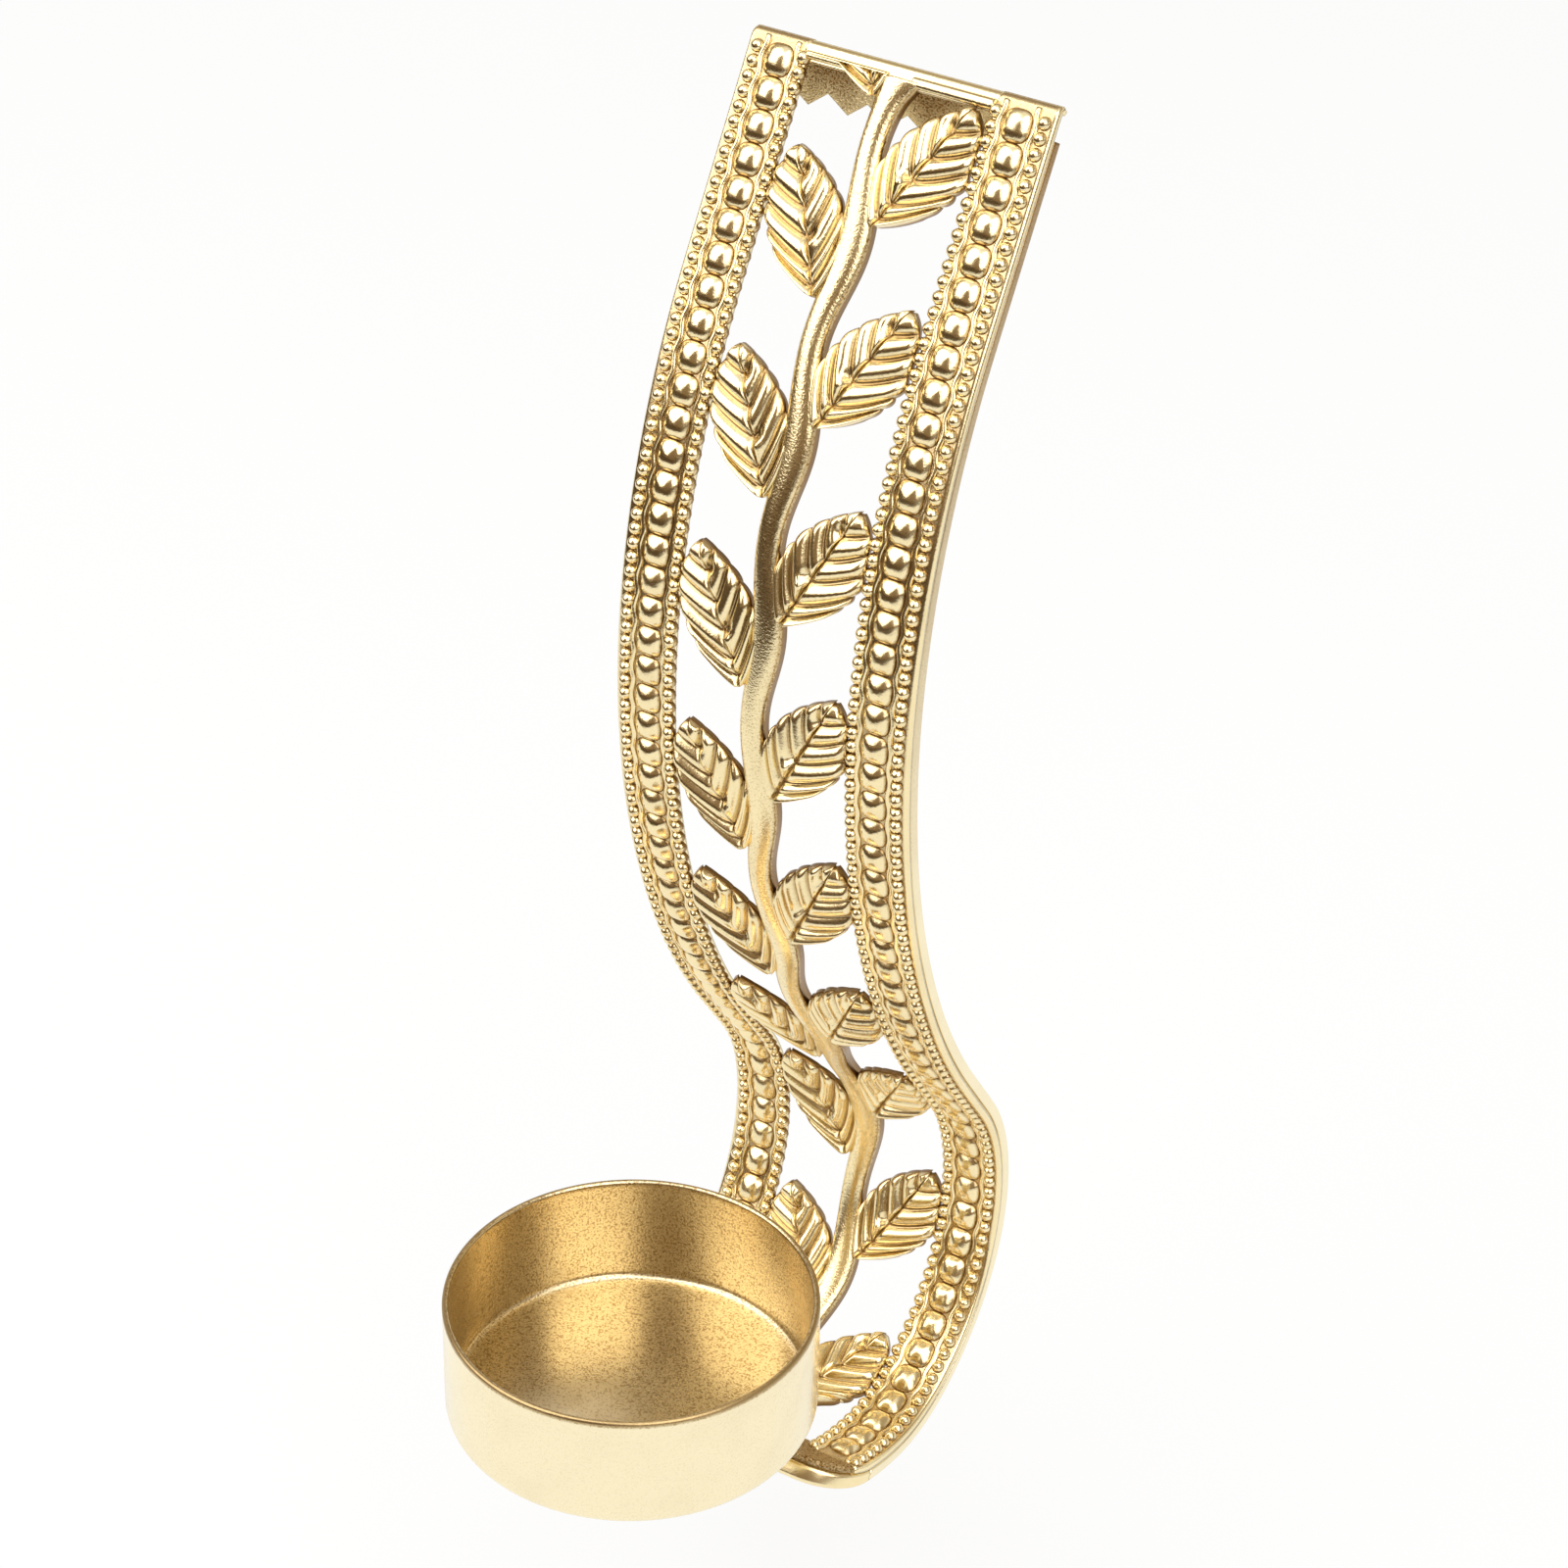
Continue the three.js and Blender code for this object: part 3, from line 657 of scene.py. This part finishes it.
def gold(name, bright, deep, roughness, grain, open_grain, depth, mottling, pale_patch=None):
    """Satin gold, mixed towards the deep colour where the mesh carries painted shade; mottled, with a fine
    grain, and dull and pale in one patch.
    """
    material = bpy.data.materials.new(name)
    material.use_nodes = True
    tree = material.node_tree
    link = tree.links.new
    shader = tree.nodes["Principled BSDF"]
    shader.inputs["Metallic"].default_value = 1
    where = tree.nodes.new("ShaderNodeTexCoord").outputs["Object"]

    def noise(scale, detail):
        node = tree.nodes.new("ShaderNodeTexNoise")
        node.inputs["Scale"].default_value = scale
        node.inputs["Detail"].default_value = detail
        link(where, node.inputs["Vector"])
        return node.outputs["Fac"]

    def spread(value, low, high, to_low, to_high):
        node = tree.nodes.new("ShaderNodeMapRange")
        for socket, number in zip(node.inputs[1:5], (low, high, to_low, to_high)):
            socket.default_value = number
        link(value, node.inputs["Value"])
        return node.outputs["Result"]

    def combined(operation, first, second):
        node = tree.nodes.new("ShaderNodeMath")
        node.operation = operation
        node.use_clamp = True
        link(first, node.inputs[0])
        link(second, node.inputs[1])
        return node.outputs[0]

    attribute = tree.nodes.new("ShaderNodeAttribute")
    attribute.attribute_name = "painted_shade"
    painted_shade = attribute.outputs["Fac"]
    mottle = noise(MOTTLE_SCALE, MOTTLE_DETAIL)
    speckle = noise(GRAIN_SCALE, GRAIN_DETAIL)
    sunk_grain = spread(painted_shade, 0, GRAIN_RECESS, open_grain, grain)
    specks = combined("MULTIPLY", spread(speckle, *SPECK_LIMITS, 0, 1), sunk_grain)
    patches = spread(mottle, *MOTTLE_LIMITS, 0, mottling)
    # Painted shade mixes the colour towards the deep gold, along with the mottle and the grain specks.
    shade = combined("ADD", spread(painted_shade, 0, 1, 0, PAINTED_SHADE_STRENGTH), patches)
    shade = combined("ADD", shade, specks)
    colour = tree.nodes.new("ShaderNodeMix")
    colour.data_type = "RGBA"
    colour.inputs["A"].default_value = (*bright, 1)
    colour.inputs["B"].default_value = (*deep, 1)
    link(shade, colour.inputs["Factor"])
    tone = colour.outputs["Result"]
    polish = spread(mottle, *POLISH_LIMITS, roughness - POLISH_SPREAD, roughness + POLISH_SPREAD)
    polish = combined("ADD", polish, spread(painted_shade, 0, 1, 0, RECESS_ROUGHNESS))
    if pale_patch:
        gap = tree.nodes.new("ShaderNodeVectorMath")
        gap.operation = "DISTANCE"
        gap.inputs[1].default_value = pale_patch
        link(where, gap.inputs[0])
        mark = spread(gap.outputs["Value"], 0, PALE_PATCH_RADIUS * MM, 1, 0)
        mark = combined("MULTIPLY", mark, spread(mottle, *PALE_PATCH_LIMITS, PALE_PATCH_FAINTEST, 1))
        polish = combined("ADD", polish, spread(mark, 0, 1, 0, PALE_PATCH_DULLNESS))
        dull = tree.nodes.new("ShaderNodeMix")
        dull.data_type = "RGBA"
        link(tone, dull.inputs["A"])
        dull.inputs["B"].default_value = (*PALE_PATCH_TONE, 1)
        link(mark, dull.inputs["Factor"])
        tone = dull.outputs["Result"]
    link(tone, shader.inputs["Base Color"])
    link(polish, shader.inputs["Roughness"])
    bump = tree.nodes.new("ShaderNodeBump")
    bump.inputs["Distance"].default_value = depth * MM
    link(speckle, bump.inputs["Height"])
    link(bump.outputs["Normal"], shader.inputs["Normal"])
    return material


# Colours of the golds. The paler gold is painted highlight, lighter than the sheet's own gold, for the strong
# light on the bands and the cup; the deep golds take the painted shade as well as the dark grain specks and
# mottle.
BRIGHT_GOLD = (0.96, 0.81, 0.48)
DEEP_GOLD = (0.3, 0.16, 0.04)
PAINTED_HIGHLIGHT_GOLD = (0.97, 0.86, 0.58)
CUP_SHADE_AND_GRAIN_GOLD = (0.45, 0.32, 0.15)

# How many times across a metre the mottle and the grain repeat, and between which noise values they show.
MOTTLE_SCALE = 160
MOTTLE_DETAIL = 3
MOTTLE_LIMITS = (0.45, 0.75)
POLISH_LIMITS = (0.3, 0.7)
POLISH_SPREAD = 0.03
GRAIN_SCALE = 3800
GRAIN_DETAIL = 1
GRAIN_RECESS = 0.3
SPECK_LIMITS = (0.5, 0.72)
RECESS_ROUGHNESS = 0.12

# A dull, pale patch on the cup's floor: its place in metres and its radius in millimetres.
PALE_PATCH_PLACE = (-0.0015, -0.067, -0.1477)
PALE_PATCH_RADIUS = 10
PALE_PATCH_TONE = (0.86, 0.76, 0.56)
PALE_PATCH_DULLNESS = 0.4
PALE_PATCH_LIMITS = (0.35, 0.6)
PALE_PATCH_FAINTEST = 0.3

strip_gold = gold(
    "strip_gold", BRIGHT_GOLD, DEEP_GOLD,
    roughness=0.2, grain=0.25, open_grain=0.05, depth=0.015, mottling=0.08,
)
stem_gold = gold(
    "stem_gold", BRIGHT_GOLD, DEEP_GOLD,
    roughness=0.22, grain=0.7, open_grain=0.25, depth=0.04, mottling=0.08,
)
flap_gold = gold(
    "flap_gold", BRIGHT_GOLD, DEEP_GOLD,
    roughness=0.36, grain=1, open_grain=0.15, depth=0.35, mottling=0.05,
)
# Painted highlight: the bands get the paler gold for the strong light they catch.
band_gold = gold(
    "band_gold", PAINTED_HIGHLIGHT_GOLD, DEEP_GOLD,
    roughness=0.24, grain=0.15, open_grain=0.03, depth=0.01, mottling=0.05,
)
rim_gold = gold(
    "rim_gold", BRIGHT_GOLD, DEEP_GOLD,
    roughness=0.26, grain=0.15, open_grain=0.03, depth=0.01, mottling=0.05,
)
# Painted highlight: the cup gets the paler gold for the strong light on its outside; inside, painted shade
# mixes it towards the cup's deep gold.
cup_gold = gold(
    "cup_gold", PAINTED_HIGHLIGHT_GOLD, CUP_SHADE_AND_GRAIN_GOLD,
    roughness=0.2, grain=0.8, open_grain=0.12, depth=0.02, mottling=0.06,
    pale_patch=PALE_PATCH_PLACE,
)

border(-1, strip_gold)
border(1, strip_gold)
stem(stem_gold)
leaves(1, RIGHT_LEAF, RIGHT_PHASE * LEAF_PITCH, "right_leaves", strip_gold)
leaves(-1, LEFT_LEAF, (LEFT_PHASE - 1) * LEAF_PITCH, "left_leaves", strip_gold)
top_fold(strip_gold)
wall_flap(flap_gold)
hook_foot(strip_gold)
tongue_plate(flap_gold)
tongue_rim(rim_gold)
edge_band(-1, band_gold)
edge_band(1, band_gold)
candle_cup(cup_gold)

# The stage, in metres: a pale floor that ends a little in front of the part, to the left.
FLOOR_DROP = 0.03
FLOOR_REACH = 0.32
FLOOR_SIZE = 1.6
FLOOR_YAW = -30
FLOOR_GLOW_SHARE = 0.86
FLOOR_COLOUR = (0.84, 0.86, 0.88)
ROOM = (0.08, 0.05, 0.025)
FRONT_WALL = (0.24, 0.16, 0.09)
BACK_WALL = (0.42, 0.34, 0.25)
BACKDROP = (0.9, 0.88, 0.84)
OVERHEAD = (0.95, 0.93, 0.9)
WHITE = (1, 1, 1)

# Where each tone of the room gives way to the next, as heights and depths on a unit sphere.
HORIZON_LIMITS = (-0.04, 0.12)
BACKDROP_LIMITS = (0.25, 0.45)
BACK_LIMITS = (-0.1, 0.3)
OVERHEAD_LIMITS = (0.75, 0.95)

# Two tall softboxes, to the left and right of the camera: azimuth and width, and watts to a square metre.
WINDOWS = ((-49, 1.05), (58, 0.8))
WINDOW_ELEVATION = 45
WINDOW_DISTANCE = 1
WINDOW_HEIGHT = 1.2
WINDOW_GLOW = 7.4
STAGE_MIDDLE = Vector((0, -0.03, -0.08))


def seen_rays(tree):
    """1 for what the camera sees directly, in a mirror or through glass."""
    path = tree.nodes.new("ShaderNodeLightPath")
    total = path.outputs["Is Camera Ray"]
    for name in ("Is Glossy Ray", "Is Transmission Ray"):
        node = tree.nodes.new("ShaderNodeMath")
        node.operation = "MAXIMUM"
        tree.links.new(total, node.inputs[0])
        tree.links.new(path.outputs[name], node.inputs[1])
        total = node.outputs[0]
    return total


def floor_material():
    """White where it is seen, with enough matte left in it to take the part's shadow."""
    material = bpy.data.materials.new("pale_floor")
    material.use_nodes = True
    tree = material.node_tree
    tree.nodes.clear()
    matte = tree.nodes.new("ShaderNodeBsdfDiffuse")
    matte.inputs["Color"].default_value = (*FLOOR_COLOUR, 1)
    glow = tree.nodes.new("ShaderNodeEmission")
    mix = tree.nodes.new("ShaderNodeMixShader")
    share = tree.nodes.new("ShaderNodeMath")
    share.operation = "MULTIPLY"
    share.inputs[1].default_value = FLOOR_GLOW_SHARE
    tree.links.new(seen_rays(tree), share.inputs[0])
    tree.links.new(share.outputs[0], mix.inputs["Fac"])
    tree.links.new(matte.outputs[0], mix.inputs[1])
    tree.links.new(glow.outputs[0], mix.inputs[2])
    output = tree.nodes.new("ShaderNodeOutputMaterial")
    tree.links.new(mix.outputs[0], output.inputs["Surface"])
    return material


def floor():
    turn = Matrix.Rotation(math.radians(FLOOR_YAW), 3, "Z")
    middle = Vector((STAGE_MIDDLE.x, STAGE_MIDDLE.y, cad_box[0][2] - FLOOR_DROP))
    flat = ((-1, -FLOOR_REACH), (1, -FLOOR_REACH), (1, FLOOR_SIZE), (-1, FLOOR_SIZE))
    corners = [middle + turn @ Vector((side * FLOOR_SIZE, depth, 0)) for side, depth in flat]
    mesh = bpy.data.meshes.new("floor")
    mesh.from_pydata(corners, [], [(0, 1, 2, 3)])
    mesh.materials.append(floor_material())
    piece = bpy.data.objects.new("floor", mesh)
    bpy.context.scene.collection.objects.link(piece)


def world():
    """White where the camera looks, and for the metal a pale room over a warm dark band below the horizon."""
    made = bpy.data.worlds.new("studio")
    bpy.context.scene.world = made
    made.use_nodes = True
    tree = made.node_tree
    tree.nodes.clear()
    axes = tree.nodes.new("ShaderNodeSeparateXYZ")
    tree.links.new(tree.nodes.new("ShaderNodeTexCoord").outputs["Generated"], axes.inputs[0])

    def ramp(value, low, high):
        node = tree.nodes.new("ShaderNodeMapRange")
        node.interpolation_type = "SMOOTHSTEP"
        node.inputs["From Min"].default_value = low
        node.inputs["From Max"].default_value = high
        tree.links.new(value, node.inputs["Value"])
        return node.outputs["Result"]

    def mixed(factor, first, second):
        node = tree.nodes.new("ShaderNodeMix")
        node.data_type = "RGBA"
        for socket, value in (("A", first), ("B", second)):
            if isinstance(value, tuple):
                node.inputs[socket].default_value = (*value, 1)
            else:
                tree.links.new(value, node.inputs[socket])
        tree.links.new(factor, node.inputs["Factor"])
        return node.outputs["Result"]

    back = mixed(ramp(axes.outputs["Z"], *BACKDROP_LIMITS), BACKDROP, BACK_WALL)
    walls = mixed(ramp(axes.outputs["Y"], *BACK_LIMITS), FRONT_WALL, back)
    studio = mixed(ramp(axes.outputs["Z"], *HORIZON_LIMITS), ROOM, walls)
    studio = mixed(ramp(axes.outputs["Z"], *OVERHEAD_LIMITS), studio, OVERHEAD)
    path = tree.nodes.new("ShaderNodeLightPath")
    seen = mixed(path.outputs["Is Camera Ray"], studio, WHITE)
    background = tree.nodes.new("ShaderNodeBackground")
    tree.links.new(seen, background.inputs["Color"])
    output = tree.nodes.new("ShaderNodeOutputWorld")
    tree.links.new(background.outputs[0], output.inputs["Surface"])


def direction(azimuth, elevation):
    """A unit vector from the part. Azimuth 0 is straight out from the wall, elevation 90 straight up."""
    turn, rise = math.radians(azimuth), math.radians(elevation)
    return Vector((math.sin(turn) * math.cos(rise), -math.cos(turn) * math.cos(rise), math.sin(rise)))


def window(azimuth, width):
    lamp = bpy.data.lights.new("window", "AREA")
    lamp.energy = WINDOW_GLOW * width * WINDOW_HEIGHT
    lamp.shape = "RECTANGLE"
    lamp.size = width
    lamp.size_y = WINDOW_HEIGHT
    box = bpy.data.objects.new("window", lamp)
    away = direction(azimuth, WINDOW_ELEVATION)
    box.location = STAGE_MIDDLE + away * WINDOW_DISTANCE
    box.rotation_euler = away.to_track_quat("Z", "Y").to_euler()
    bpy.context.scene.collection.objects.link(box)


def camera():
    back = direction(CAMERA_AZIMUTH, CAMERA_ELEVATION)
    level = direction(CAMERA_AZIMUTH + 90, 0)
    upright = back.cross(level)
    roll = math.radians(CAMERA_ROLL)
    right = math.cos(roll) * level + math.sin(roll) * upright
    up = math.cos(roll) * upright - math.sin(roll) * level
    data = bpy.data.cameras.new("camera")
    data.lens = CAMERA_LENS
    data.sensor_width = CAMERA_SENSOR
    data.clip_start = CAMERA_CLIP
    view = bpy.data.objects.new("camera", data)
    place = (Vector(CAMERA_AIM) + back * CAMERA_DISTANCE) * MM
    view.matrix_world = Matrix.Translation(place) @ Matrix((right, up, back)).transposed().to_4x4()
    bpy.context.scene.collection.objects.link(view)
    bpy.context.scene.camera = view


floor()
world()
for azimuth, width in WINDOWS:
    window(azimuth, width)
camera()
bpy.context.scene.view_settings.view_transform = "Standard"
